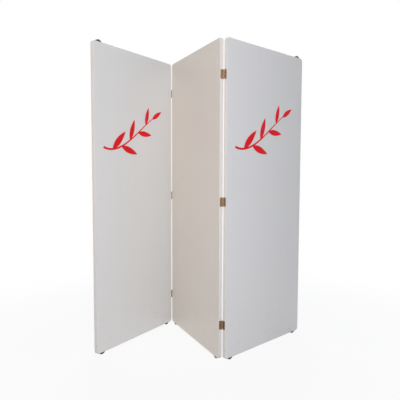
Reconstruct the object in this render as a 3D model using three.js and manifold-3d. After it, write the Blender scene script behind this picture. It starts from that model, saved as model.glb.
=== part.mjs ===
// Ward privacy screen on wheels: three white boards, hinged zig-zag, with wheels let into their edges.
// Millimetres, +Z up, seen from the front along +Y. The origin is on the floor, midway across the
// screen. Each board is drawn by itself, with its front face at y = 0 and the lower left corner of
// its outline at the origin, and is then turned about its hinge line.
import * as THREE from "three";
import { mergeVertices } from "three/addons/utils/BufferGeometryUtils.js";
import Module from "manifold-3d";

const wasm = await Module();
wasm.setup();

// Boards
const boardWidth = 700;
const boardHeight = 1774;
const boardThickness = 20;
const cornerRadius = 20;
const laminateThickness = 1;
const bandThickness = 2;
const bandEdgeRadius = 1.5;
const glueLine = 0.3;

// How each board stands in the zig-zag, in degrees from a line across the view
const leftBoardAngle = 56;
const middleBoardAngle = -64.6;
const rightBoardAngle = 43.1;

// Wheels and their axles
const wheelRadius = 25;
const wheelWidth = 11;
const wheelShoulder = 1.5;
const wheelReach = 13;
const wheelInset = 48;
const slotTipClearance = 2;
const slotSideClearance = 0.75;
const axleRadius = 3;
const axleRunningClearance = 0.15;

// Hinges
const hingeEndDistance = 195;
const hingeHeight = 50;
const leafThickness = 1.2;
const leafMargin = 2;
const knuckleGap = 0.3;
const pivotStandOff = 0.7;
const pinRadius = 1.4;
const pinClearance = 0.15;
const pinHeadRadius = 2.2;
const pinHeadHeight = 1;
const knuckleCount = 5;

// Hinge screws, drawn as one piece with the leaf that they hold
const screwHeadRadius = 3.2;
const screwHeadHeight = 0.4;
const screwShankRadius = 1.7;
const screwLength = 18;
const screwSpread = 16;
const screwStagger = 2;

// Leaf sprig cut from film, on the front of the two outer boards
const filmThickness = 0.3;
const sprigLength = 560;
const sprigBelowTop = 470;
const sprigStemWidth = 13;
const sprigLeafLength = 165;
const sprigLeafWidth = 44;
const stemPointShares = [
  [-0.5, -0.2],
  [-0.24, -0.3],
  [0.06, 0.04],
  [0.3, 0.17],
];
const leafPlaceShares = [0.16, 0.32, 0.48, 0.64, 0.8];
const tipLeafShare = 0.95;
const leafBellyShare = 0.38;
const leafShrinkShare = 0.35;
const leafAngle = 40;
const stemTipShare = 0.35;

// Sides of the round shapes
const cornerSegments = 3;
const bandEdgeSegments = 2;
const wheelSegments = 24;
const slotSegments = 24;
const smallSegments = 10;
const screwSegments = 6;
const leafSegments = 10;
const stemSegments = 24;

// Worked out from the sizes above
const knuckleRadius = pinRadius + pinClearance + leafThickness;
const hingeHalfGap = knuckleRadius + glueLine;
const coreInset = bandThickness + glueLine;
const coreFront = laminateThickness + glueLine;
const coreThickness = boardThickness - 2 * coreFront;
const wheelCentre = wheelRadius - wheelReach;
const slotRadius = wheelRadius + slotTipClearance;
const slotWidth = wheelWidth + 2 * slotSideClearance;
const knuckleHeight = (hingeHeight - (knuckleCount - 1) * knuckleGap) / knuckleCount;
const leafReach = pivotStandOff + boardThickness - leafMargin;

const bottomLeft = { name: "bottom_left", x: wheelInset, z: wheelCentre };
const bottomRight = { name: "bottom_right", x: boardWidth - wheelInset, z: wheelCentre };
const topLeft = { name: "top_left", x: wheelInset, z: boardHeight - wheelCentre };
const topRight = { name: "top_right", x: boardWidth - wheelInset, z: boardHeight - wheelCentre };
const hingeLevels = [
  { name: "lower", z: hingeEndDistance },
  { name: "middle", z: boardHeight / 2 },
  { name: "upper", z: boardHeight - hingeEndDistance },
];

// Finishes
const whiteLaminate = { color: 0xdcdbd9, roughness: 0.4, metalness: 0 };
const whiteBand = { color: 0xe4e2df, roughness: 0.35, metalness: 0 };
const fibreboard = { color: 0xb08a5e, roughness: 0.9, metalness: 0 };
const darkRubber = { color: 0x2f2f31, roughness: 0.75, metalness: 0 };
const steel = { color: 0xb9bbbd, roughness: 0.35, metalness: 1 };
const brass = { color: 0xb5935f, roughness: 0.35, metalness: 1 };
const redFilm = { color: 0xce1f2b, roughness: 0.3, metalness: 0 };

// A closed geometry as a solid that can be joined and cut.
function solidOf(geometry) {
  const bare = geometry.index ? geometry.toNonIndexed() : geometry.clone();
  bare.deleteAttribute("normal");
  bare.deleteAttribute("uv");
  const merged = mergeVertices(bare);
  const vertProperties = merged.attributes.position.array;
  const triVerts = new Uint32Array(merged.index.array);
  return new wasm.Manifold(new wasm.Mesh({ numProp: 3, vertProperties, triVerts }));
}

// A joined or cut solid as a geometry again.
function geometryOf(solid) {
  const mesh = solid.getMesh();
  const geometry = new THREE.BufferGeometry();
  geometry.setAttribute("position", new THREE.BufferAttribute(mesh.vertProperties, 3));
  geometry.setIndex(new THREE.BufferAttribute(mesh.triVerts, 1));
  return geometry.toNonIndexed();
}

function addPiece(group, name, geometry, finish) {
  geometry.computeVertexNormals();
  const piece = new THREE.Mesh(geometry, new THREE.MeshStandardMaterial(finish));
  piece.name = name;
  group.add(piece);
}

// The outline of a board in the plane of its face, moved in by the inset all round.
function boardOutline(inset) {
  const right = boardWidth - inset;
  const top = boardHeight - inset;
  const radius = cornerRadius - inset;
  const outline = new THREE.Shape();
  outline.absarc(right - radius, inset + radius, radius, -Math.PI / 2, 0);
  outline.absarc(right - radius, top - radius, radius, 0, Math.PI / 2);
  outline.absarc(inset + radius, top - radius, radius, Math.PI / 2, Math.PI);
  outline.absarc(inset + radius, inset + radius, radius, Math.PI, 1.5 * Math.PI);
  outline.closePath();
  return outline;
}

// Stands an extrusion up, so that its outline lies in the board's face and its depth runs back from y.
function standUp(geometry, depth, y) {
  return geometry.rotateX(Math.PI / 2).translate(0, y + depth, 0);
}

function slab(inset, thickness, y) {
  const settings = { depth: thickness, bevelEnabled: false, curveSegments: cornerSegments };
  return standUp(new THREE.ExtrudeGeometry(boardOutline(inset), settings), thickness, y);
}

// The whole board's outer form, with the small round along its edges.
function roundedSlab() {
  const settings = {
    depth: boardThickness - 2 * bandEdgeRadius,
    bevelThickness: bandEdgeRadius,
    bevelSize: bandEdgeRadius,
    bevelOffset: -bandEdgeRadius,
    bevelSegments: bandEdgeSegments,
    curveSegments: cornerSegments,
  };
  const form = new THREE.ExtrudeGeometry(boardOutline(0), settings);
  return standUp(form, settings.depth, bandEdgeRadius);
}

// A round bar whose axis runs from the board's front to its back.
function crossBar(radius, length, segments, x, z) {
  const bar = new THREE.CylinderGeometry(radius, radius, length, segments);
  return bar.rotateY(Math.PI / segments).translate(x, boardThickness / 2, z);
}

// The disc-shaped slots that the wheels run in, as the slot cutter leaves them.
function wheelSlots(wheels) {
  return wheels.map((place) =>
    solidOf(crossBar(slotRadius, slotWidth, slotSegments, place.x, place.z)),
  );
}

function axleHoles(wheels) {
  return wheels.map((place) =>
    solidOf(crossBar(axleRadius + glueLine, boardThickness, smallSegments, place.x, place.z)),
  );
}

function cut(solid, cutters) {
  return cutters.reduce((left, cutter) => left.subtract(cutter), solid);
}

function join(solids) {
  return solids.reduce((joined, solid) => joined.add(solid));
}

// Carries a hinge's own frame to a board's edge. In that frame the pivot is the z axis, the board
// lies towards +x and its thickness runs along +y.
function hingeFrame(hinge, level) {
  const across = hinge.side === "left" ? 1 : -1;
  const back = hinge.face === "front" ? 1 : -1;
  const x = hinge.side === "left" ? -hingeHalfGap : boardWidth + hingeHalfGap;
  const y = hinge.face === "front" ? -pivotStandOff : boardThickness + pivotStandOff;
  return new THREE.Matrix4().makeScale(across, back, across * back).setPosition(x, y, level.z);
}

// The middles of a leaf's screws, on its own frame's y and z.
function screwPlaces() {
  const middle = pivotStandOff + boardThickness / 2;
  return [
    { y: middle + screwStagger, z: -screwSpread },
    { y: middle - screwStagger, z: 0 },
    { y: middle + screwStagger, z: screwSpread },
  ];
}

// A round bar along the hinge frame's x axis.
function screwBar(radius, fromX, toX, place) {
  const bar = new THREE.CylinderGeometry(radius, radius, toX - fromX, screwSegments);
  return bar.rotateZ(Math.PI / 2).translate((fromX + toX) / 2, place.y, place.z);
}

// The holes that the screws of a board's hinges need in its band and its core.
function screwHoles(hinges) {
  const end = knuckleRadius - leafThickness + screwLength + glueLine;
  const radius = screwShankRadius + glueLine;
  const holes = [];
  for (const hinge of hinges) {
    for (const level of hingeLevels) {
      for (const place of screwPlaces()) {
        const hole = screwBar(radius, knuckleRadius, end, place);
        holes.push(solidOf(hole.applyMatrix4(hingeFrame(hinge, level))));
      }
    }
  }
  return holes;
}

function coreGeometry(wheels, hinges) {
  const board = solidOf(slab(coreInset, coreThickness, coreFront));
  const cutters = [...wheelSlots(wheels), ...axleHoles(wheels), ...screwHoles(hinges)];
  return geometryOf(cut(board, cutters));
}

// The edge band goes round the whole board, flush with both faces and open at the wheel slots.
function bandGeometry(wheels, hinges) {
  const inside = solidOf(slab(bandThickness, boardThickness + 2 * glueLine, -glueLine));
  const cutters = [inside, ...wheelSlots(wheels), ...screwHoles(hinges)];
  return geometryOf(cut(solidOf(roundedSlab()), cutters));
}

// A wheel with its tread chamfered at both sides.
function wheelGeometry(place) {
  const bore = axleRadius + axleRunningClearance;
  const side = wheelRadius - wheelShoulder;
  const half = wheelWidth / 2;
  const tread = half - wheelShoulder;
  const profile = [
    new THREE.Vector2(bore, -half),
    new THREE.Vector2(side, -half),
    new THREE.Vector2(wheelRadius, -tread),
    new THREE.Vector2(wheelRadius, tread),
    new THREE.Vector2(side, half),
    new THREE.Vector2(bore, half),
    new THREE.Vector2(bore, -half),
  ];
  const wheel = new THREE.LatheGeometry(profile, wheelSegments, Math.PI / wheelSegments);
  return wheel.translate(place.x, boardThickness / 2, place.z);
}

// A box between two corners.
function block(low, high) {
  const size = high.clone().sub(low);
  const middle = high.clone().add(low).divideScalar(2);
  return new THREE.BoxGeometry(size.x, size.y, size.z).translate(middle.x, middle.y, middle.z);
}

// A round bar on the hinge's pivot line.
function pivotBar(radius, height, z) {
  const bar = new THREE.CylinderGeometry(radius, radius, height, smallSegments);
  return bar.rotateX(Math.PI / 2).translate(0, 0, z);
}

// One hinge leaf in the hinge's own frame. A leaf has every second knuckle, from the first one given.
function leafGeometry(firstKnuckle) {
  const inner = knuckleRadius - leafThickness;
  const half = hingeHeight / 2;
  const plateStart = knuckleRadius + knuckleGap;
  const plate = block(
    new THREE.Vector3(inner, plateStart, -half),
    new THREE.Vector3(knuckleRadius, leafReach, half),
  );
  const pieces = [solidOf(plate)];
  for (let i = firstKnuckle; i < knuckleCount; i += 2) {
    const bottom = i * (knuckleHeight + knuckleGap) - half;
    const tab = block(
      new THREE.Vector3(inner, 0, bottom),
      new THREE.Vector3(knuckleRadius, plateStart + leafThickness, bottom + knuckleHeight),
    );
    pieces.push(solidOf(tab));
    pieces.push(solidOf(pivotBar(knuckleRadius, knuckleHeight, bottom + knuckleHeight / 2)));
  }
  const bore = solidOf(pivotBar(pinRadius + pinClearance, 2 * hingeHeight, 0));
  const leaf = join(pieces).subtract(bore);
  const screws = screwPlaces().flatMap((place) => [
    solidOf(screwBar(screwHeadRadius, inner - screwHeadHeight, knuckleRadius, place)),
    solidOf(screwBar(screwShankRadius, inner, inner + screwLength, place)),
  ]);
  return geometryOf(join([leaf, ...screws]));
}

// The pin with its two button tips, in the hinge's own frame.
function pinGeometry() {
  const seat = hingeHeight / 2 + knuckleGap;
  const end = seat + pinHeadHeight;
  const profile = [
    new THREE.Vector2(0, -end),
    new THREE.Vector2(pinHeadRadius, -end),
    new THREE.Vector2(pinHeadRadius, -seat),
    new THREE.Vector2(pinRadius, -seat),
    new THREE.Vector2(pinRadius, seat),
    new THREE.Vector2(pinHeadRadius, seat),
    new THREE.Vector2(pinHeadRadius, end),
    new THREE.Vector2(0, end),
  ];
  return new THREE.LatheGeometry(profile, smallSegments).rotateX(Math.PI / 2);
}

// The sprig's stem: a band that narrows along its curve.
function stemShape(curve) {
  const leftSide = [];
  const rightSide = [];
  for (let i = 0; i <= stemSegments; i += 1) {
    const along = i / stemSegments;
    const middle = curve.getPoint(along);
    const tangent = curve.getTangent(along);
    const half = (sprigStemWidth / 2) * (1 - (1 - stemTipShare) * along);
    leftSide.push(new THREE.Vector2(middle.x - tangent.y * half, middle.y + tangent.x * half));
    rightSide.push(new THREE.Vector2(middle.x + tangent.y * half, middle.y - tangent.x * half));
  }
  return new THREE.Shape([...rightSide, ...leftSide.reverse()]);
}

function leafShape(length) {
  const belly = leafBellyShare * length;
  const width = (sprigLeafWidth * length) / sprigLeafLength;
  const leaf = new THREE.Shape();
  leaf.moveTo(0, 0);
  leaf.quadraticCurveTo(belly, -width, length, 0);
  leaf.quadraticCurveTo(belly, width, 0, 0);
  return leaf;
}

function filmOf(shape) {
  const settings = { depth: filmThickness, bevelEnabled: false, curveSegments: leafSegments };
  return new THREE.ExtrudeGeometry(shape, settings);
}

// A generic sprig of leaves, cut from one piece of film and laid on a board's front face.
function sprigGeometry() {
  const points = stemPointShares.map(
    ([x, y]) => new THREE.Vector2(x * sprigLength, y * sprigLength),
  );
  const curve = new THREE.CubicBezierCurve(...points);
  const pieces = [solidOf(filmOf(stemShape(curve)))];
  const addLeaf = (along, turn) => {
    const base = curve.getPoint(along);
    const angle = curve.getTangent(along).angle() + THREE.MathUtils.degToRad(turn);
    const leaf = filmOf(leafShape(sprigLeafLength * (1 - leafShrinkShare * along)));
    pieces.push(solidOf(leaf.rotateZ(angle).translate(base.x, base.y, 0)));
  };
  leafPlaceShares.forEach((along, i) => addLeaf(along, i % 2 ? -leafAngle : leafAngle));
  addLeaf(tipLeafShare, 0);
  const sprig = standUp(geometryOf(join(pieces)), filmThickness, -filmThickness - glueLine);
  return sprig.translate(boardWidth / 2, 0, boardHeight - sprigBelowTop);
}

function board(name, wheels, hinges, hasSprig) {
  const group = new THREE.Group();
  const front = slab(coreInset, laminateThickness, 0);
  const back = slab(coreInset, laminateThickness, boardThickness - laminateThickness);
  addPiece(group, name + "_board_core", coreGeometry(wheels, hinges), fibreboard);
  addPiece(group, name + "_board_front_laminate", front, whiteLaminate);
  addPiece(group, name + "_board_back_laminate", back, whiteLaminate);
  addPiece(group, name + "_board_edge_band", bandGeometry(wheels, hinges), whiteBand);
  for (const place of wheels) {
    const axle = crossBar(axleRadius, coreThickness, smallSegments, place.x, place.z);
    addPiece(group, name + "_board_wheel_" + place.name, wheelGeometry(place), darkRubber);
    addPiece(group, name + "_board_axle_" + place.name, axle, steel);
  }
  if (hasSprig) {
    addPiece(group, name + "_board_sprig_film", sprigGeometry(), redFilm);
  }
  for (const hinge of hinges) {
    for (const level of hingeLevels) {
      const frame = hingeFrame(hinge, level);
      const leaf = leafGeometry(hinge.firstKnuckle).applyMatrix4(frame);
      const hingeName = hinge.joint + "_hinge_" + level.name;
      addPiece(group, hingeName + "_leaf_on_" + name + "_board", leaf, brass);
      if (hinge.firstKnuckle === 0) {
        addPiece(group, hingeName + "_pin", pinGeometry().applyMatrix4(frame), brass);
      }
    }
  }
  return group;
}

// Hangs a board on a pivot line of the board that carries it.
function hang(carried, carrier, pivotOnCarried, pivotOnCarrier, angle) {
  const pivot = new THREE.Group();
  pivot.position.copy(pivotOnCarrier);
  pivot.rotation.z = THREE.MathUtils.degToRad(angle);
  carried.position.copy(pivotOnCarried).negate();
  pivot.add(carried);
  carrier.add(pivot);
}

function pivotLine(side, face) {
  return new THREE.Vector3().setFromMatrixPosition(hingeFrame({ side, face }, { z: 0 }));
}

// Every board has its bottom wheels. At the top only the two free corners of the screen have one.
const valley = { joint: "valley", face: "front" };
const ridge = { joint: "ridge", face: "back" };
const leftHinges = [{ ...valley, side: "right", firstKnuckle: 1 }];
const middleHinges = [
  { ...valley, side: "left", firstKnuckle: 0 },
  { ...ridge, side: "right", firstKnuckle: 0 },
];
const rightHinges = [{ ...ridge, side: "left", firstKnuckle: 1 }];
const left = board("left", [bottomLeft, bottomRight, topLeft], leftHinges, true);
const middle = board("middle", [bottomLeft, bottomRight], middleHinges, false);
const right = board("right", [bottomLeft, bottomRight, topRight], rightHinges, true);

const valleyAngle = leftBoardAngle - middleBoardAngle;
const ridgeAngle = rightBoardAngle - middleBoardAngle;
hang(left, middle, pivotLine("right", "front"), pivotLine("left", "front"), valleyAngle);
hang(right, middle, pivotLine("left", "back"), pivotLine("right", "back"), ridgeAngle);

const screen = new THREE.Group();
middle.rotation.z = THREE.MathUtils.degToRad(middleBoardAngle);
screen.add(middle);
screen.updateMatrixWorld(true);
const extent = new THREE.Box3().setFromObject(screen, true);
const floorMiddle = extent.getCenter(new THREE.Vector3()).setZ(extent.min.z);
middle.position.sub(floorMiddle);

export default screen;
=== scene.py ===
import math
from collections import namedtuple
from contextlib import contextmanager

import bmesh
import bpy
from bpy.props import FloatProperty, FloatVectorProperty, IntProperty, PointerProperty
from mathutils import Matrix, Vector


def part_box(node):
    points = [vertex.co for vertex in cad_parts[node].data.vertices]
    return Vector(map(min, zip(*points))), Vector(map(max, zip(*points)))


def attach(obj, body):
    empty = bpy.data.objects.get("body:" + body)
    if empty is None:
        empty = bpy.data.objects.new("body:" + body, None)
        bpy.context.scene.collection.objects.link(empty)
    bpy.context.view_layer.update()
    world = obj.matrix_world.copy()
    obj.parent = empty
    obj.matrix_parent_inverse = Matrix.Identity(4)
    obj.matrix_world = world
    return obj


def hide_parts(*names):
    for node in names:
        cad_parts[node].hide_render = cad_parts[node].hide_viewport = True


bl_info = {
    "name": "Privacy screen",
    "version": (1, 0, 0),
    "blender": (4, 5, 0),
    "location": "View3D > Sidebar > Privacy screen",
    "description": "A folding privacy screen: three laminated boards, brass hinges and let-in wheels",
    "category": "Add Mesh",
}

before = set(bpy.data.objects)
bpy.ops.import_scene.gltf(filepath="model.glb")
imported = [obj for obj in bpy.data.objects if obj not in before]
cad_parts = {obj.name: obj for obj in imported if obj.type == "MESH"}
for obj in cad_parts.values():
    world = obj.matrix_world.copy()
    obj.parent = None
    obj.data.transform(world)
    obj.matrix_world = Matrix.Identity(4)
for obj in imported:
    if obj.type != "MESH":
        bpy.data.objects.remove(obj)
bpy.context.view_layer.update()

UP = Vector((0, 0, 1))
CORNERS = ("bottom_left", "bottom_right", "top_left", "top_right")
FOLDS = ("valley", "ridge")
HINGE_LEVELS = ("lower", "middle", "upper")
FULL_TURN = 2 * math.pi
WHITE = (1, 1, 1)
GOLDEN_ANGLE = math.radians(137.5)

# Modelling steps and tolerances
NEARLY = 0.999
TOUCH = 1e-6
CORNER_STEPS = 16
RIM_STEPS = 4
EDGE_STEPS = 2
ROUND_STEPS = 64
SMALL_ROUND_STEPS = 32
TYRE_STEPS = 96
SHOULDER_STEPS = 5
CURL_STEPS = 30
CROWN_STEPS = 6
PIN_STEPS = 40
TIP_STEPS = 8
SMOOTH_ANGLE = math.radians(32)
KNUCKLE_CURL = math.radians(300)

# A leaf of a hinge: its fold, the face that its pin stands off, its board and side, its first knuckle
Leaf = namedtuple("Leaf", "fold face board side first_knuckle")
LEAVES = (
    Leaf("valley", "front", "left", "right", 1),
    Leaf("valley", "front", "middle", "left", 0),
    Leaf("ridge", "back", "middle", "right", 0),
    Leaf("ridge", "back", "right", "left", 1),
)


# Places, measured from the frame


def middle_of(node):
    low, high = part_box(node)
    return (low + high) / 2


def axes(origin, x_axis, y_axis):
    """The matrix of a frame with this origin and these two axes."""
    columns = (x_axis, y_axis, x_axis.cross(y_axis))
    return Matrix.Translation(origin) @ Matrix(columns).transposed().to_4x4()


def measured(node, own_frame):
    """The lowest and highest corners of a CAD node in a frame of its own."""
    to_own = own_frame.inverted()
    points = [to_own @ vertex.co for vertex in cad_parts[node].data.vertices]
    return Vector(map(min, *points)), Vector(map(max, *points))


class Board:
    """A board's own frame has the board's middle at its origin, x across, y to the back and z up."""

    def __init__(self, name):
        self.name = name
        self.body = name + "_board"
        self.wheels = {}
        for corner in CORNERS:
            if self.wheel_node(corner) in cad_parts:
                self.wheels[corner] = middle_of(self.wheel_node(corner))
        self.across = (self.wheels["bottom_right"] - self.wheels["bottom_left"]).normalized()
        self.back = UP.cross(self.across)
        turned_only = axes(Vector(), self.across, self.back)
        low, high = measured(self.body + "_edge_band", turned_only)
        self.size = high - low
        self.middle = turned_only @ ((low + high) / 2)
        self.frame = axes(self.middle, self.across, self.back)

    def wheel_node(self, corner):
        return f"{self.body}_wheel_{corner}"

    def wheel_frame(self, corner):
        """At the middle of a wheel, with z along its axle."""
        return axes(self.wheels[corner], self.across, -UP)


BOARDS = {name: Board(name) for name in ("left", "middle", "right")}


def hinge_frame(leaf, level):
    """A leaf's own frame: the pin is the z axis, the board lies towards x and its depth runs along y."""
    board = BOARDS[leaf.board]
    across = board.across if leaf.side == "left" else -board.across
    depth = board.back if leaf.face == "front" else -board.back
    return axes(middle_of(f"{leaf.fold}_hinge_{level}_pin"), across, depth)


def leaf_node(leaf, level):
    return f"{leaf.fold}_hinge_{level}_leaf_on_{leaf.board}_board"


# What the CAD solids say of the sizes, so that the pieces here keep to them
SAMPLE_BOARD = BOARDS["left"]
SAMPLE_WHEEL = SAMPLE_BOARD.wheel_frame("bottom_left")
SAMPLE_HINGE = hinge_frame(LEAVES[0], "lower")
BOARD_SIZE = SAMPLE_BOARD.size
WHEEL_LOW, WHEEL_HIGH = measured("left_board_wheel_bottom_left", SAMPLE_WHEEL)
AXLE_HIGH = measured("left_board_axle_bottom_left", SAMPLE_WHEEL)[1]
LAMINATE_LOW, LAMINATE_HIGH = measured("left_board_front_laminate", SAMPLE_BOARD.frame)
LAMINATE_THICKNESS = LAMINATE_HIGH.y - LAMINATE_LOW.y
LEAF_LOW, LEAF_HIGH = measured(leaf_node(LEAVES[0], "lower"), SAMPLE_HINGE)
KNUCKLE_RADIUS = -LEAF_LOW.y
PIN_HIGH = measured("valley_hinge_lower_pin", SAMPLE_HINGE)[1]


def length_property(name, description, default):
    return FloatProperty(name=name, description=description, default=default, unit="LENGTH", precision=5)


def number_property(name, description, default):
    return FloatProperty(name=name, description=description, default=default)


def angle_property(name, description, degrees):
    return FloatProperty(name=name, description=description, subtype="ANGLE", default=math.radians(degrees))


def place_property(name, description, *place):
    return FloatVectorProperty(
        name=name, description=description, subtype="TRANSLATION", unit="LENGTH", size=3, default=place
    )


def colour_property(name, description, red, green, blue):
    """A colour given as a screen shows it, from 0 to 255, and kept as the shaders take it."""
    shown = [part / 255 for part in (red, green, blue)]
    default = [part / 12.92 if part <= 0.04045 else ((part + 0.055) / 1.055) ** 2.4 for part in shown]
    return FloatVectorProperty(
        name=name, description=description, subtype="COLOR", size=3, min=0, max=1, default=default
    )


class ScreenSizes(bpy.types.PropertyGroup):
    corner_radius: length_property("Corner radius", "Round of the boards' four corners", 0.02)
    band_thickness: length_property("Band thickness", "Thickness of the edge band", 0.002)
    band_round: length_property("Band round", "Round along both rims of the edge band", 0.0015)
    laminate_round: length_property("Laminate round", "Broken rim of a laminate sheet", 0.00015)
    glue_joint: length_property("Glue joint", "Hairline between laminate and edge band", 0.00012)
    slot_clearance: length_property("Slot clearance", "Room round a wheel in its slot", 0.0022)
    slot_side_clearance: length_property("Slot side clearance", "Room beside a wheel", 0.00075)
    rim_radius: length_property("Rim radius", "Where the tyre sits on the wheel's rim", 0.0165)
    bore_radius: length_property("Bore radius", "Bore of the wheel's rim", 0.00315)
    plate_thickness: length_property("Leaf thickness", "Thickness of a hinge leaf", 0.0012)
    plate_round: length_property("Leaf edge round", "Broken edges of a hinge leaf", 0.00025)
    leaf_margin: length_property("Leaf margin", "From a leaf's free edge to the board's face", 0.002)
    knuckle_gap: length_property("Knuckle gap", "Gap between two knuckles", 0.0003)
    pin_radius: length_property("Pin radius", "Radius of a hinge pin", 0.0014)
    screw_head_radius: length_property("Screw head", "Radius of a screw head", 0.0032)
    screw_shank_radius: length_property("Screw shank", "Radius of a screw's shank", 0.0016)
    screw_length: length_property("Screw length", "Length of a screw under its head", 0.0178)
    screw_spread: length_property("Screw spread", "Distance between the screws along a leaf", 0.016)
    screw_stagger: length_property("Screw stagger", "How far the screws step from the leaf's line", 0.002)
    knuckle_count: IntProperty(name="Knuckles", description="Knuckles of a hinge", default=5, min=3, max=9)


class ScreenColours(bpy.types.PropertyGroup):
    # All three boards are the same white laminate. The middle and right colours are painted light: the
    # middle one darker and warm for warm light on it, the right one a little darker and cool for cool light
    # on it.
    left_laminate: colour_property("Left laminate", "White faces of the left board", 219, 217, 214)
    middle_laminate: colour_property("Middle laminate", "Creamier faces of the middle board", 215, 208, 199)
    right_laminate: colour_property("Right laminate", "Cooler faces of the right board", 215, 213, 212)
    band: colour_property("Edge band", "Strip round the boards", 212, 206, 200)
    # Grime is also the colour of the painted shade on the lower half of the edge bands.
    grime: colour_property("Grime", "Rubbed and dusty places", 140, 132, 122)
    core: colour_property("Core", "Fibreboard inside the wheel slots", 170, 134, 92)
    core_dark: colour_property("Dark fibres", "Darker fibres of the core", 112, 80, 50)
    rubber: colour_property("Rubber", "Tyres", 44, 44, 46)
    nylon: colour_property("Nylon", "Wheel rims", 62, 62, 66)
    steel: colour_property("Steel", "Axles", 186, 188, 190)
    brass: colour_property("Brass", "Hinges", 168, 137, 104)
    # The tarnish colour also paints shade on the hinge leaves and towards the floor.
    brass_tarnish: colour_property("Tarnish", "Darkened places of the brass", 98, 77, 60)
    film: colour_property("Film", "Leaf sprigs", 221, 24, 36)


class StageLook(bpy.types.PropertyGroup):
    camera_place: place_property("Camera place", "Where the camera stands", -0.0239, -2.7325, 1.0767)
    camera_pitch: angle_property("Camera pitch", "How far it looks down", 3.926)
    camera_roll: angle_property("Camera roll", "Its tilt to one side", 0.179)
    camera_lens: number_property("Lens", "Focal length in millimetres", 39.67)
    camera_sensor: number_property("Sensor", "Width of the camera's sensor in millimetres", 36)
    floor_size: length_property("Floor size", "Side of the floor", 60)
    floor: colour_property("Floor", "Pale floor", 238, 238, 238)
    floor_whiteness: number_property("Floor whiteness", "How far the floor by the object is whitened", 0.88)
    shadow_reach: length_property("Shadow reach", "Where the floor starts to turn wholly white", 0.8)
    shadow_end: length_property("Shadow end", "Where the floor is wholly white", 2.4)
    ambient: number_property("Ambient", "Strength of the light from all round", 0.15)
    lamp_side: length_property("Lamp side", "Side of the square front, warm and top lamps", 2.4)
    front_place: place_property("Front lamp place", "Where the front lamp stands", 0, -5.2, 1.8)
    front_power: number_property("Front lamp", "Watts of the front lamp", 194)
    front_colour: colour_property("Front colour", "Colour of the front, top and back lamps", 240, 246, 255)
    warm_place: place_property("Warm lamp place", "Where the warm lamp stands", -2.4, -4.4, 3)
    warm_power: number_property("Warm lamp", "Watts of the warm lamp", 35)
    warm_colour: colour_property("Warm colour", "Colour of the warm lamp", 255, 215, 175)
    top_place: place_property("Top lamp place", "Where the top lamp hangs", 0, -0.6, 4.6)
    top_power: number_property("Top lamp", "Watts of the top lamp", 34)
    back_place: place_property("Back lamp place", "Where the back lamp stands", 0, 5, 3.2)
    back_side: length_property("Back lamp side", "Side of the square back lamp", 4.5)
    back_power: number_property("Back lamp", "Watts of the back lamp", 190)


# Modelling


def only(piece):
    """Makes this the one selected and active object."""
    bpy.ops.object.select_all(action="DESELECT")
    piece.select_set(True)
    bpy.context.view_layer.objects.active = piece


def begun(name):
    """The primitive just added, named and with its place and size in its mesh."""
    piece = bpy.context.active_object
    bpy.ops.object.transform_apply(location=True, rotation=True, scale=True)
    piece.name = name
    piece.data.name = name
    return piece


def block(name, low, high):
    """A box between two corners, to be shaped further or to cut with."""
    bpy.ops.object.select_all(action="DESELECT")
    bpy.ops.mesh.primitive_cube_add(size=1, location=(low + high) / 2, scale=high - low)
    return begun(name)


def bar(name, radius, length, place, turn):
    """A round bar, to cut with."""
    bpy.ops.object.select_all(action="DESELECT")
    bpy.ops.mesh.primitive_cylinder_add(
        vertices=ROUND_STEPS, radius=radius, depth=length, location=place, rotation=turn
    )
    return begun(name)


@contextmanager
def editing(piece):
    only(piece)
    bpy.ops.object.mode_set(mode="EDIT")
    yield
    bpy.ops.object.mode_set(mode="OBJECT")


def pick(piece, kind, wanted):
    """Selects the faces or edges that are wanted, and nothing else."""
    bpy.ops.mesh.select_mode(type={"faces": "FACE", "edges": "EDGE"}[kind])
    bpy.ops.mesh.select_all(action="DESELECT")
    shape = bmesh.from_edit_mesh(piece.data)
    for element in getattr(shape, kind):
        if wanted(element):
            element.select_set(True)
    bmesh.update_edit_mesh(piece.data)


def runs_along(edge, axis):
    direction = (edge.verts[1].co - edge.verts[0].co).normalized()
    return abs(direction[axis]) > NEARLY


def on_planes(edge, axis, distance):
    """True if an edge lies in one of the two planes at this distance from the middle."""
    first, second = (vertex.co[axis] for vertex in edge.verts)
    return abs(first - second) < TOUCH and abs(abs(first) - distance) < TOUCH


def shade(piece):
    only(piece)
    bpy.ops.object.shade_smooth_by_angle(angle=SMOOTH_ANGLE)


def apply(piece, modifier):
    only(piece)
    bpy.ops.object.modifier_apply(modifier=modifier.name)


def cut(piece, cutters):
    """Cuts the cutters out of the piece and takes them away."""
    for cutter in cutters:
        boolean = piece.modifiers.new("cut", "BOOLEAN")
        boolean.operation = "DIFFERENCE"
        boolean.solver = "EXACT"
        boolean.object = cutter
        apply(piece, boolean)
        bpy.data.objects.remove(cutter)


def break_edges(piece, width):
    """Rounds the sharp edges of a piece by a little."""
    bevel = piece.modifiers.new("edges", "BEVEL")
    bevel.width = width
    bevel.segments = EDGE_STEPS
    bevel.limit_method = "ANGLE"
    bevel.angle_limit = SMOOTH_ANGLE
    apply(piece, bevel)


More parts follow.
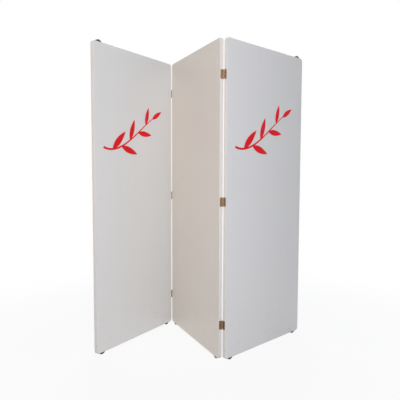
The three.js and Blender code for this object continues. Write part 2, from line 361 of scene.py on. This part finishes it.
def turned(name, profile, steps=ROUND_STEPS):
    """A turned piece: its profile of radii and heights is drawn point by point and spun about z."""
    start = profile[0]
    bpy.ops.object.select_all(action="DESELECT")
    bpy.ops.mesh.primitive_plane_add(size=max(radius for radius, height in profile))
    piece = begun(name)
    with editing(piece):
        bpy.ops.mesh.select_mode(type="VERT")
        bpy.ops.mesh.select_all(action="SELECT")
        bpy.ops.mesh.merge(type="CENTER")
        bpy.ops.transform.translate(value=(start[0], 0, start[1]))
        for before, after in zip(profile, profile[1:]):
            step = (after[0] - before[0], 0, after[1] - before[1])
            bpy.ops.mesh.extrude_region_move(TRANSFORM_OT_translate={"value": step})
        bpy.ops.mesh.select_all(action="SELECT")
        bpy.ops.mesh.spin(steps=steps, angle=FULL_TURN, center=(0, 0, 0), axis=(0, 0, 1))
        bpy.ops.mesh.select_all(action="SELECT")
        bpy.ops.mesh.remove_doubles(threshold=TOUCH)
        bpy.ops.mesh.normals_make_consistent(inside=False)
    return piece


def arc(centre, radius, start, end, steps):
    """Points of an arc in a profile, from one angle in degrees to another."""
    points = []
    for i in range(steps + 1):
        angle = math.radians(start + (end - start) * i / steps)
        points.append((centre[0] + radius * math.cos(angle), centre[1] + radius * math.sin(angle)))
    return points


def copy_of(pattern, name, place):
    """A copy of a finished shape with a mesh of its own, put in its place for good."""
    piece = pattern.copy()
    piece.data = pattern.data.copy()
    piece.name = name
    piece.data.name = name
    piece.data.transform(place)
    bpy.context.scene.collection.objects.link(piece)
    return piece


def fit(piece, body, nodes, material):
    """Gives a piece its finish and says which body it rides on and which nodes it stands for."""
    piece.data.materials.clear()
    piece.data.materials.append(material)
    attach(piece, body)
    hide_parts(*nodes)


# Materials


class Value:
    """What a node gives. Sums, differences and products of numbers add Math nodes."""

    def __init__(self, finish, socket):
        self.finish = finish
        self.socket = socket

    def math(self, operation, *values):
        sockets = dict(enumerate(values))
        return self.finish.add("ShaderNodeMath", {"operation": operation}, sockets)

    def __add__(self, other):
        return self.math("ADD", self, other)

    def __sub__(self, other):
        return self.math("SUBTRACT", self, other)

    def __mul__(self, other):
        return self.math("MULTIPLY", self, other)

    def __rsub__(self, other):
        return self.math("SUBTRACT", other, self)

    def __abs__(self):
        return self.math("ABSOLUTE", self)

    __radd__ = __add__
    __rmul__ = __mul__


class Nodes:
    """The nodes of a material or a world in the making."""

    def __init__(self, owner):
        self.owner = owner
        owner.use_nodes = True
        self.tree = owner.node_tree
        self.tree.nodes.clear()

    def add(self, kind, settings=None, sockets=None, output=0):
        """Adds a node: its settings first, then the values or links of its sockets."""
        node = self.tree.nodes.new(kind)
        for name, setting in (settings or {}).items():
            setattr(node, name, setting)
        for key, value in (sockets or {}).items():
            if isinstance(value, Value):
                self.tree.links.new(value.socket, node.inputs[key])
            else:
                node.inputs[key].default_value = value
        return Value(self, node.outputs[output])

    def seen(self):
        """1 for what the camera, a gloss or glass sees, and 0 for the light that falls on things."""
        rays = ("Camera", "Glossy", "Transmission")
        camera, gloss, glass = (self.add("ShaderNodeLightPath", output=f"Is {ray} Ray") for ray in rays)
        return camera.math("MAXIMUM", camera, gloss.math("MAXIMUM", gloss, glass))

    def close(self, shader, output="ShaderNodeOutputMaterial"):
        """Links the shader to the output, and gives the finished material or world."""
        end = self.tree.nodes.new(output)
        self.tree.links.new(shader.socket, end.inputs["Surface"])
        return self.owner


class Finish(Nodes):
    """A material with its patterns, which read the place on the piece."""

    def __init__(self, name):
        super().__init__(bpy.data.materials.new(name))
        self.place = self.add("ShaderNodeTexCoord", output="Object")

    def part(self, vector, axis):
        """The X, Y or Z of a vector."""
        return self.add("ShaderNodeSeparateXYZ", None, {0: vector}, axis)

    def length(self, vector):
        return self.add("ShaderNodeVectorMath", {"operation": "LENGTH"}, {0: vector}, "Value")

    def mapped(self, vector, location=(0, 0, 0), rotation=(0, 0, 0), scale=(1, 1, 1)):
        sockets = {"Vector": vector, "Location": location, "Rotation": rotation, "Scale": scale}
        return self.add("ShaderNodeMapping", None, sockets)

    def noise(self, vector, scale, detail=2, roughness=0.5):
        sockets = {"Vector": vector, "Scale": scale, "Detail": detail, "Roughness": roughness}
        return self.add("ShaderNodeTexNoise", None, sockets)

    def cells(self, vector, scale):
        return self.add("ShaderNodeTexVoronoi", None, {"Vector": vector, "Scale": scale}, "Distance")

    def between(self, value, low, high):
        """A smooth step from 0 at low to 1 at high."""
        sockets = {"Value": value, "From Min": low, "From Max": high}
        return self.add("ShaderNodeMapRange", {"interpolation_type": "SMOOTHSTEP"}, sockets)

    def blend(self, factor, first, second):
        """A colour from the first, at factor 0, to the second."""
        return self.add("ShaderNodeMix", {"data_type": "RGBA"}, {0: factor, 6: first, 7: second}, 2)

    def bump(self, height, distance, normal=None):
        sockets = {"Height": height, "Distance": distance}
        if normal:
            sockets["Normal"] = normal
        return self.add("ShaderNodeBump", None, sockets)

    def surface(self, **sockets):
        """The finished material, from the sockets of its shader, named with _ for a space."""
        named = {name.replace("_", " "): value for name, value in sockets.items()}
        return self.close(self.add("ShaderNodeBsdfPrincipled", None, named))


def solid(colour, share=1.0):
    """A property's colour as a socket takes it, darker or lighter by a share."""
    return (*(part * share for part in colour), 1)


def board_place(finish, board):
    """The point on a board's surface in the board's own frame."""
    turn = math.atan2(board.across.y, board.across.x)
    back = Matrix.Rotation(-turn, 3, "Z")
    return finish.mapped(finish.place, -(back @ board.middle), (0, 0, -turn))


def laminate_finish(board, colours):
    """Laminate with faint clouds, streaks and specks, and scuffs near the floor and at the sides."""
    finish = Finish(board.name + "_laminate")
    place = board_place(finish, board)
    across, height = finish.part(place, "X"), finish.part(place, "Z")
    half = BOARD_SIZE / 2
    foot_height, side_width = 0.3, 0.09
    foot_darkening, side_wear, speck_wear = 0.22, 0.1, 0.05
    cloud = finish.noise(place, scale=3.5, detail=3)
    streaks = finish.noise(finish.mapped(place, scale=(55, 55, 1.3)), scale=1, detail=3)
    specks = finish.between(finish.noise(place, scale=260), low=0.7, high=0.78)
    rubbing = finish.noise(finish.mapped(place, scale=(9, 9, 30)), scale=1, detail=5)
    scuffs = finish.between(rubbing, low=0.56, high=0.74)
    low_down = 1 - finish.between(height, -half.z, -half.z + foot_height)
    at_side = finish.between(abs(across), half.x - side_width, half.x)
    darkening = scuffs * low_down * foot_darkening + scuffs * at_side * side_wear + specks * speck_wear
    # Each board's laminate colour is painted light on one white laminate: warm and darker on the middle
    # board, cool and a little darker on the right one.
    white = getattr(colours, board.name + "_laminate")
    tone = finish.blend(cloud * 0.5 + streaks * 0.5, solid(white, share=0.975), solid(white, share=1.02))
    peel = finish.bump(finish.noise(place, scale=400, detail=1), distance=0.000012)
    waves = finish.bump(finish.noise(place, scale=6, detail=1), distance=0.0006, normal=peel)
    return finish.surface(
        Base_Color=finish.blend(darkening, tone, solid(colours.grime)),
        Roughness=0.36 + cloud * 0.06 + streaks * 0.05 + scuffs * 0.08,
        Normal=waves,
    )


def band_finish(board, colours):
    """An edge band with knocks along its rims and near the floor, a little dust at its foot, and painted
    shade that darkens its lower half towards the floor.
    """
    finish = Finish(board.name + "_edge_band")
    place = board_place(finish, board)
    depth, height = finish.part(place, "Y"), finish.part(place, "Z")
    half = BOARD_SIZE / 2
    foot_height, shade_height, rim_width = 0.12, 1, 0.0018
    rim_wear, foot_darkening, foot_dust, dust_and_shade = 0.25, 0.35, 0.06, 0.12
    cloud = finish.noise(place, scale=18, detail=3)
    knocks = finish.between(finish.noise(place, scale=42, detail=4), low=0.58, high=0.72)
    low_down = 1 - finish.between(height, -half.z, -half.z + foot_height)
    # Painted shade: the band darkens from about a metre up down to the floor.
    lower_half_shade = 1 - finish.between(height, -half.z, -half.z + shade_height)
    at_rim = finish.between(abs(depth), half.y - rim_width, half.y)
    knocked = knocks * at_rim * rim_wear + knocks * low_down * foot_darkening
    darkening = knocked + low_down * foot_dust + lower_half_shade * dust_and_shade
    tone = finish.blend(cloud, solid(colours.band, share=0.97), solid(colours.band, share=1.02))
    grain = finish.noise(finish.mapped(place, scale=(1, 3, 1)), scale=220, detail=1)
    return finish.surface(
        Base_Color=finish.blend(darkening, tone, solid(colours.grime)),
        Roughness=0.4 + cloud * 0.1 + knocks * 0.12,
        Normal=finish.bump(grain, distance=0.000012),
    )


def core_finish(colours):
    finish = Finish("fibreboard")
    pressed = finish.mapped(finish.place, scale=(1, 1, 2.5))
    fibres = finish.noise(pressed, scale=700, detail=5, roughness=0.65)
    chips = finish.cells(finish.place, scale=420)
    dark = finish.between(fibres + chips * 0.35, low=0.45, high=0.85)
    return finish.surface(
        Base_Color=finish.blend(dark, solid(colours.core), solid(colours.core_dark)),
        Roughness=0.82 + fibres * 0.12,
        Normal=finish.bump(fibres, distance=0.0004),
    )


def rubber_finish(colours):
    finish = Finish("tyre_rubber")
    dust_and_shade = finish.between(finish.noise(finish.place, scale=90, detail=4), low=0.5, high=0.75)
    grain = finish.noise(finish.place, scale=1500)
    return finish.surface(
        Base_Color=finish.blend(dust_and_shade * 0.35, solid(colours.rubber), solid(colours.grime)),
        Roughness=0.62 + dust_and_shade * 0.2,
        Normal=finish.bump(grain, distance=0.00008),
    )


def nylon_finish(colours):
    finish = Finish("rim_nylon")
    cloud = finish.noise(finish.place, scale=60, detail=3)
    grain = finish.noise(finish.place, scale=1200)
    return finish.surface(
        Base_Color=finish.blend(cloud, solid(colours.nylon, share=0.85), solid(colours.nylon, share=1.15)),
        Roughness=0.42 + cloud * 0.15,
        Normal=finish.bump(grain, distance=0.00003),
    )


def steel_finish(colours):
    finish = Finish("axle_steel")
    lines = finish.noise(finish.place, scale=900, detail=3)
    return finish.surface(
        Base_Color=finish.blend(lines, solid(colours.steel, share=0.8), solid(colours.steel)),
        Metallic=1,
        Roughness=0.28 + lines * 0.15,
        Normal=finish.bump(lines, distance=0.00003),
    )


def brass_finish(name, fold, colours, share):
    """Brass with tarnished spots, painted shade on the leaves that keeps the knuckles lighter like a
    highlight, and painted shade darkening it towards the floor.
    """
    finish = Finish(name)
    pin = middle_of(fold + "_hinge_lower_pin")
    from_pin = finish.mapped(finish.place, location=(-pin.x, -pin.y, 0), scale=(1, 1, 0))
    leaf_start, leaf_shaded = KNUCKLE_RADIUS, 2.5 * KNUCKLE_RADIUS
    shaded_below, unshaded_above = 0.25, 1.1
    spot_wear, leaf_shade, foot_darkening = 0.35, 0.3, 0.3
    darkest, lightest = 0.88 * share, 1.04 * share
    # Painted shade: the leaves are darkened away from the pin, so the knuckles stay lighter like a
    # highlight.
    on_leaf = finish.between(finish.length(from_pin), leaf_start, leaf_shaded)
    # Painted shade: the brass darkens towards the floor.
    low_down = 1 - finish.between(finish.part(finish.place, "Z"), shaded_below, unshaded_above)
    lines = finish.noise(finish.mapped(finish.place, scale=(1, 1, 0.06)), scale=2600, detail=3)
    spots = finish.between(finish.noise(finish.place, scale=150, detail=4), low=0.5, high=0.72)
    tone = finish.blend(lines, solid(colours.brass, darkest), solid(colours.brass, lightest))
    tarnish_and_shade = spots * spot_wear + on_leaf * leaf_shade + low_down * foot_darkening
    return finish.surface(
        Base_Color=finish.blend(tarnish_and_shade, tone, solid(colours.brass_tarnish)),
        Metallic=1,
        Roughness=0.34 + lines * 0.1 + tarnish_and_shade * 0.2,
        Normal=finish.bump(lines, distance=0.00002),
    )


def film_finish(board, colours):
    finish = Finish(board.name + "_film")
    place = board_place(finish, board)
    cloud = finish.noise(place, scale=14, detail=3)
    peel = finish.bump(finish.noise(place, scale=500), distance=0.00003)
    ripple = finish.bump(finish.noise(place, scale=40, detail=1), distance=0.0001, normal=peel)
    return finish.surface(
        Base_Color=finish.blend(cloud, solid(colours.film, share=0.93), solid(colours.film, share=1.05)),
        Specular_IOR_Level=0.15,
        Roughness=0.38 + cloud * 0.12,
        Normal=ripple,
    )


# The pieces


def board_slab(name, size, corner, rim):
    """An upright board with its middle at the origin, round corners and a small round along both rims."""
    half = size / 2
    piece = block(name, -half, half)
    with editing(piece):
        pick(piece, "edges", lambda edge: runs_along(edge, 1))
        bpy.ops.mesh.bevel(offset=corner, segments=CORNER_STEPS, clamp_overlap=False)
        if rim:
            pick(piece, "edges", lambda edge: on_planes(edge, 1, half.y))
            bpy.ops.mesh.bevel(offset=rim, segments=RIM_STEPS, clamp_overlap=False)
    return piece


def wheel_cutters(board, radius, length):
    """Bars through the places of a board's wheels, in the board's own frame."""
    to_board = board.frame.inverted()
    places = [to_board @ place for place in board.wheels.values()]
    return [bar("cutter", radius, length, place, (math.pi / 2, 0, 0)) for place in places]


def slot_cutters(board, sizes):
    radius = WHEEL_HIGH.x + sizes.slot_clearance
    return wheel_cutters(board, radius, WHEEL_HIGH.z - WHEEL_LOW.z + 2 * sizes.slot_side_clearance)


def core_shape(sizes):
    inset = sizes.band_thickness + sizes.glue_joint
    depth = LAMINATE_THICKNESS + sizes.glue_joint
    size = BOARD_SIZE - 2 * Vector((inset, depth, inset))
    return board_slab("core_shape", size, sizes.corner_radius - inset, 0)


def laminate_shape(sizes):
    inset = sizes.band_thickness + sizes.glue_joint
    size = Vector((BOARD_SIZE.x - 2 * inset, LAMINATE_THICKNESS, BOARD_SIZE.z - 2 * inset))
    piece = board_slab("laminate_shape", size, sizes.corner_radius - inset, sizes.laminate_round)
    shade(piece)
    return piece


def band_shape(sizes):
    """The edge band: a slab whose middle is bridged through."""
    piece = board_slab("band_shape", BOARD_SIZE, sizes.corner_radius, sizes.band_round)
    with editing(piece):
        pick(piece, "faces", lambda face: abs(face.normal.y) > NEARLY)
        bpy.ops.mesh.inset(thickness=sizes.band_thickness - sizes.band_round)
        bpy.ops.mesh.bridge_edge_loops()
    return piece


def cut_copy(pattern, name, board, cutters):
    """A copy of a board's core or band, cut in the board's own frame and then put in its place."""
    piece = copy_of(pattern, name, Matrix())
    cut(piece, cutters)
    shade(piece)
    piece.data.transform(board.frame)
    return piece


class SCREEN_OT_boards(bpy.types.Operator):
    """Adds the cores, laminates and edge bands of the three boards"""

    bl_idname = "privacy_screen.boards"
    bl_label = "Add boards"

    def execute(self, context):
        sizes, colours = context.scene.screen_sizes, context.scene.screen_colours
        core, laminate, band = core_shape(sizes), laminate_shape(sizes), band_shape(sizes)
        core_material = core_finish(colours)
        offset = (BOARD_SIZE.y - LAMINATE_THICKNESS) / 2
        for board in BOARDS.values():
            body = board.body
            bores = wheel_cutters(board, AXLE_HIGH.x + sizes.glue_joint, BOARD_SIZE.y)
            cutters = bores + slot_cutters(board, sizes)
            piece = cut_copy(core, board.name + "_core_board", board, cutters)
            fit(piece, body, [body + "_core"], core_material)
            piece = cut_copy(band, board.name + "_edge_strip", board, slot_cutters(board, sizes))
            fit(piece, body, [body + "_edge_band"], band_finish(board, colours))
            material = laminate_finish(board, colours)
            for face, side in (("front", -1), ("back", 1)):
                place = board.frame @ Matrix.Translation((0, side * offset, 0))
                piece = copy_of(laminate, f"{board.name}_{face}_sheet", place)
                fit(piece, body, [f"{body}_{face}_laminate"], material)
        for pattern in (core, laminate, band):
            bpy.data.objects.remove(pattern)
        return {"FINISHED"}


def tyre_profile(sizes):
    """A tyre with round shoulders, two tread grooves and a step down to its rim."""
    outer, half = WHEEL_HIGH.x, WHEEL_HIGH.z
    inner = sizes.rim_radius
    shoulder = 0.0016
    groove_place, groove_half, groove_depth = 0.0019, 0.00035, 0.0006
    step, step_width = 0.0005, 0.0035
    step_radius = outer - step_width
    upper = [
        (outer, groove_place - groove_half),
        (outer - groove_depth, groove_place - groove_half),
        (outer - groove_depth, groove_place + groove_half),
        (outer, groove_place + groove_half),
        *arc((outer - shoulder, half - shoulder), shoulder, 0, 90, SHOULDER_STEPS),
        (step_radius, half),
        (step_radius - step, half - step),
        (inner, half - step),
    ]
    lower = [(radius, -height) for radius, height in reversed(upper)]
    return [*upper, *lower, upper[0]]


def rim_profile(sizes):
    """A rim with a boss, a thinner web and a lip under the tyre."""
    outer, half, bore = sizes.rim_radius, WHEEL_HIGH.z, sizes.bore_radius
    boss_wall, lip_wall, lip_drop = 0.0035, 0.0022, 0.0007
    web_half, chamfer = 0.0022, 0.0004
    boss, lip, lip_half = bore + boss_wall, outer - lip_wall, half - lip_drop
    upper = [
        (outer, lip_half),
        (lip, lip_half),
        (lip - chamfer, web_half),
        (boss + chamfer, web_half),
        (boss, half - chamfer),
        (boss - chamfer, half),
        (bore + chamfer, half),
        (bore, half - chamfer),
    ]
    lower = [(radius, -height) for radius, height in reversed(upper)]
    return [*upper, *lower, upper[0]]


def axle_profile():
    radius, half = AXLE_HIGH.x, AXLE_HIGH.z
    chamfer = 0.0005
    upper = [(0, half), (radius - chamfer, half), (radius, half - chamfer)]
    return [*upper, *((across, -height) for across, height in reversed(upper))]


class SCREEN_OT_wheels(bpy.types.Operator):
    """Adds the tyres, rims and axles of the wheels in the boards' edges"""

    bl_idname = "privacy_screen.wheels"
    bl_label = "Add wheels"

    def execute(self, context):
        sizes, colours = context.scene.screen_sizes, context.scene.screen_colours
        tyre = turned("tyre_shape", tyre_profile(sizes), TYRE_STEPS)
        rim = turned("rim_shape", rim_profile(sizes))
        axle = turned("axle_shape", axle_profile(), SMALL_ROUND_STEPS)
        for pattern in (tyre, rim, axle):
            shade(pattern)
        rubber, nylon, steel = rubber_finish(colours), nylon_finish(colours), steel_finish(colours)
        for board in BOARDS.values():
            for corner in board.wheels:
                name = f"{board.name}_{corner}"
                node = board.wheel_node(corner)
                where = board.wheel_frame(corner)
                fit(copy_of(tyre, name + "_tyre", where), node, [node], rubber)
                fit(copy_of(rim, name + "_rim", where), node, [node], nylon)
                axle_node = f"{board.body}_axle_{corner}"
                piece = copy_of(axle, name + "_axle_rod", where)
                fit(piece, board.body, [axle_node], steel)
        for pattern in (tyre, rim, axle):
            bpy.data.objects.remove(pattern)
        return {"FINISHED"}


def screw_places(sizes):
    """The middles of a leaf's screws, on the leaf's own y and z."""
    middle = LEAF_HIGH.y + sizes.leaf_margin - BOARD_SIZE.y / 2
    return [
        (middle + sizes.screw_stagger, -sizes.screw_spread),
        (middle - sizes.screw_stagger, 0),
        (middle + sizes.screw_stagger, sizes.screw_spread),
    ]


def leaf_shape(name, sizes, first_knuckle):
    """A hinge leaf: a plate whose edge is rolled round the pin, notched for the other leaf's knuckles."""
    outer, half, reach = KNUCKLE_RADIUS, LEAF_HIGH.z, LEAF_HIGH.y
    inner = outer - sizes.plate_thickness
    piece = block(name, Vector((inner, 0, -half)), Vector((outer, reach, half)))
    with editing(piece):
        pick(piece, "faces", lambda face: face.normal.y < -NEARLY)
        bpy.ops.mesh.spin(steps=CURL_STEPS, angle=KNUCKLE_CURL, center=(0, 0, 0), axis=(0, 0, 1))
    knuckle = (2 * half - (sizes.knuckle_count - 1) * sizes.knuckle_gap) / sizes.knuckle_count
    notches = []
    for i in range(1 - first_knuckle, sizes.knuckle_count, 2):
        bottom = i * (knuckle + sizes.knuckle_gap) - half - sizes.knuckle_gap
        top = bottom + knuckle + 2 * sizes.knuckle_gap
        low = Vector((-2 * outer, -2 * outer, bottom))
        high = Vector((2 * outer, outer + sizes.knuckle_gap, top))
        notches.append(block("notch", low, high))
    cut(piece, notches)
    break_edges(piece, sizes.plate_round)
    holes = [countersink(sizes, place, inner) for place in screw_places(sizes)]
    cut(piece, holes)
    shade(piece)
    return piece


def screw_frame(place, depth):
    """At a screw's place on a leaf, with z out of the leaf's open face."""
    return axes(Vector((depth, *place)), Vector((0, 1, 0)), Vector((0, 0, -1)))


def countersink(sizes, place, depth):
    radius, shank = sizes.screw_head_radius, sizes.screw_shank_radius
    room = 0.0002
    profile = [
        (0, radius),
        (radius + room, radius),
        (radius + room, -room),
        (shank + room, shank - radius - room),
        (shank + room, -2 * radius),
        (0, -2 * radius),
    ]
    piece = turned("countersink", profile, SMALL_ROUND_STEPS)
    piece.data.transform(screw_frame(place, depth))
    return piece


def screw_shape(sizes):
    """A raised countersunk screw with a cross recess: its head's rim is at the origin's height."""
    radius, shank, length = sizes.screw_head_radius, sizes.screw_shank_radius, sizes.screw_length
    dome = 0.0004
    dome_radius = (radius**2 + dome**2) / (2 * dome)
    half_angle = math.degrees(math.asin(radius / dome_radius))
    crown = arc((0, dome - dome_radius), dome_radius, 90, 90 - half_angle, CROWN_STEPS)
    crown[0] = (0, dome)
    thread, pitch = 0.00035, 0.0012
    profile = [*crown, (shank, shank - radius)]
    height = shank - radius - 2 * pitch
    while height > -length + 2 * shank:
        profile += [(shank, height + pitch / 2), (shank + thread, height + pitch / 4), (shank, height)]
        height -= pitch
    profile += [(0, -length)]
    piece = turned("screw_shape", profile, SMALL_ROUND_STEPS)
    arm_share, width, depth = 0.6, 0.0005, 0.0011
    arm = arm_share * radius
    long, short = Vector((arm, width / 2, depth)), Vector((width / 2, arm, depth))
    recess = [block("recess", Vector((-v.x, -v.y, dome - depth)), v) for v in (long, short)]
    cut(piece, recess)
    shade(piece)
    return piece


def pin_profile(sizes):
    """A pin with a low domed tip at each end."""
    radius, tip_radius, end = sizes.pin_radius, PIN_HIGH.x, PIN_HIGH.z
    seat = LEAF_HIGH.z + sizes.knuckle_gap
    tip = end - seat
    dome = arc((0, seat), 1, 90, 0, TIP_STEPS)
    upper = [(across * tip_radius, seat + (height - seat) * tip) for across, height in dome]
    upper[0] = (0, end)
    upper += [(tip_radius, seat), (radius, seat)]
    return [*upper, *((across, -height) for across, height in reversed(upper))]


class SCREEN_OT_hinges(bpy.types.Operator):
    """Adds the rolled leaves, pins and screws of the six butt hinges"""

    bl_idname = "privacy_screen.hinges"
    bl_label = "Add hinges"

    def execute(self, context):
        sizes, colours = context.scene.screen_sizes, context.scene.screen_colours
        brass, bright = {}, {}
        screw_brightness = 1.15
        for fold in FOLDS:
            brass[fold] = brass_finish(fold + "_hinge_brass", fold, colours, 1)
            bright[fold] = brass_finish(fold + "_screw_brass", fold, colours, screw_brightness)
        shapes = [leaf_shape(f"leaf_shape_{first}", sizes, first) for first in (0, 1)]
        screw = screw_shape(sizes)
        pin = turned("pin_shape", pin_profile(sizes), PIN_STEPS)
        shade(pin)
        inner = KNUCKLE_RADIUS - sizes.plate_thickness
        for leaf in LEAVES:
            for level in HINGE_LEVELS:
                where = hinge_frame(leaf, level)
                node = leaf_node(leaf, level)
                name = f"{leaf.fold}_{level}_{leaf.board}"
                body = leaf.board + "_board"
                piece = copy_of(shapes[leaf.first_knuckle], name + "_leaf", where)
                fit(piece, body, [node], brass[leaf.fold])
                for i, place in enumerate(screw_places(sizes)):
                    # The cross of each screw stopped at another angle when it was driven in
                    turn = Matrix.Rotation(GOLDEN_ANGLE * (i + len(name)), 4, "Z")
                    seat = where @ screw_frame(place, inner) @ turn
                    piece = copy_of(screw, f"{name}_screw_{i + 1}", seat)
                    fit(piece, body, [node], bright[leaf.fold])
                if leaf.first_knuckle == 0:
                    piece = copy_of(pin, f"{leaf.fold}_{level}_pin", where)
                    fit(piece, body, [f"{leaf.fold}_hinge_{level}_pin"], brass[leaf.fold])
        for pattern in (*shapes, screw, pin):
            bpy.data.objects.remove(pattern)
        return {"FINISHED"}


class SCREEN_OT_sprigs(bpy.types.Operator):
    """Gives the leaf sprigs on the outer boards their film"""

    bl_idname = "privacy_screen.sprigs"
    bl_label = "Finish sprigs"

    def execute(self, context):
        for name in ("left", "right"):
            board = BOARDS[name]
            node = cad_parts[board.body + "_sprig_film"]
            node.data.materials.clear()
            node.data.materials.append(film_finish(board, context.scene.screen_colours))
        return {"FINISHED"}


# The stage


def floor_finish(look):
    """A pale floor that is seen as white, apart from the object's soft shadow near the middle."""
    finish = Finish("floor")
    lit = finish.add("ShaderNodeBsdfDiffuse", None, {"Color": solid(look.floor)})
    glow = finish.add("ShaderNodeEmission", None, {"Color": solid(WHITE), "Strength": 1})
    far = finish.between(finish.length(finish.place), look.shadow_reach, look.shadow_end)
    whitened = look.floor_whiteness + far * (1 - look.floor_whiteness)
    return finish.close(
        finish.add("ShaderNodeMixShader", None, {0: finish.seen() * whitened, 1: lit, 2: glow})
    )


def white_surroundings(look):
    """A world that is seen as white and lights the object from all round."""
    nodes = Nodes(bpy.data.worlds.new("studio"))
    around = nodes.add("ShaderNodeBackground", None, {"Color": solid(WHITE), "Strength": look.ambient})
    white = nodes.add("ShaderNodeBackground", None, {"Color": solid(WHITE), "Strength": 1})
    mixed = nodes.add("ShaderNodeMixShader", None, {0: nodes.seen(), 1: around, 2: white})
    return nodes.close(mixed, "ShaderNodeOutputWorld")


def add_lamp(name, place, side, power, colour):
    """A square soft lamp that faces the middle of the screen."""
    bpy.ops.object.light_add(type="AREA", location=place)
    lamp = bpy.context.active_object
    lamp.name = name
    target = Vector((0, 0, BOARD_SIZE.z / 2))
    lamp.rotation_euler = (target - lamp.location).to_track_quat("-Z", "Y").to_euler()
    lamp.data.size = side
    lamp.data.energy = power
    lamp.data.color = colour


def add_camera(look):
    bpy.ops.object.camera_add()
    camera = bpy.context.active_object
    camera.data.sensor_width = look.camera_sensor
    camera.data.lens = look.camera_lens
    pitch = Matrix.Rotation(math.pi / 2 - look.camera_pitch, 4, "X")
    roll = Matrix.Rotation(look.camera_roll, 4, "Z")
    camera.matrix_world = Matrix.Translation(look.camera_place) @ pitch @ roll
    bpy.context.scene.camera = camera


class SCREEN_OT_stage(bpy.types.Operator):
    """Adds the pale floor, the soft lamps, the white surroundings and the camera"""

    bl_idname = "privacy_screen.stage"
    bl_label = "Add stage"

    def execute(self, context):
        look = context.scene.stage_look
        bpy.ops.object.select_all(action="DESELECT")
        bpy.ops.mesh.primitive_plane_add(size=look.floor_size)
        floor = bpy.context.active_object
        floor.name = "floor"
        floor.data.materials.append(floor_finish(look))
        add_lamp("front_lamp", look.front_place, look.lamp_side, look.front_power, look.front_colour)
        add_lamp("warm_lamp", look.warm_place, look.lamp_side, look.warm_power, look.warm_colour)
        add_lamp("top_lamp", look.top_place, look.lamp_side, look.top_power, look.front_colour)
        add_lamp("back_lamp", look.back_place, look.back_side, look.back_power, look.front_colour)
        context.scene.world = white_surroundings(look)
        add_camera(look)
        context.scene.view_settings.view_transform = "Standard"
        return {"FINISHED"}


class SCREEN_PT_pieces(bpy.types.Panel):
    """Lists the steps that build the screen"""

    bl_idname = "SCREEN_PT_pieces"
    bl_label = "Privacy screen"
    bl_space_type = "VIEW_3D"
    bl_region_type = "UI"
    bl_category = "Privacy screen"

    def draw(self, context):
        for operator in OPERATORS:
            self.layout.operator(operator.bl_idname)
        for name in GROUPS:
            group = getattr(context.scene, name)
            box = self.layout.box()
            for key in group.__annotations__:
                box.prop(group, key)


OPERATORS = (SCREEN_OT_stage, SCREEN_OT_boards, SCREEN_OT_wheels, SCREEN_OT_hinges, SCREEN_OT_sprigs)
GROUPS = {"screen_sizes": ScreenSizes, "screen_colours": ScreenColours, "stage_look": StageLook}
CLASSES = (*GROUPS.values(), *OPERATORS, SCREEN_PT_pieces)


def register():
    for each in CLASSES:
        bpy.utils.register_class(each)
    for name, group in GROUPS.items():
        setattr(bpy.types.Scene, name, PointerProperty(type=group))


def unregister():
    for name in GROUPS:
        delattr(bpy.types.Scene, name)
    for each in reversed(CLASSES):
        bpy.utils.unregister_class(each)


def main():
    register()
    bpy.ops.privacy_screen.stage()
    bpy.ops.privacy_screen.boards()
    bpy.ops.privacy_screen.wheels()
    bpy.ops.privacy_screen.hinges()
    bpy.ops.privacy_screen.sprigs()


if __name__ == "__main__":
    main()
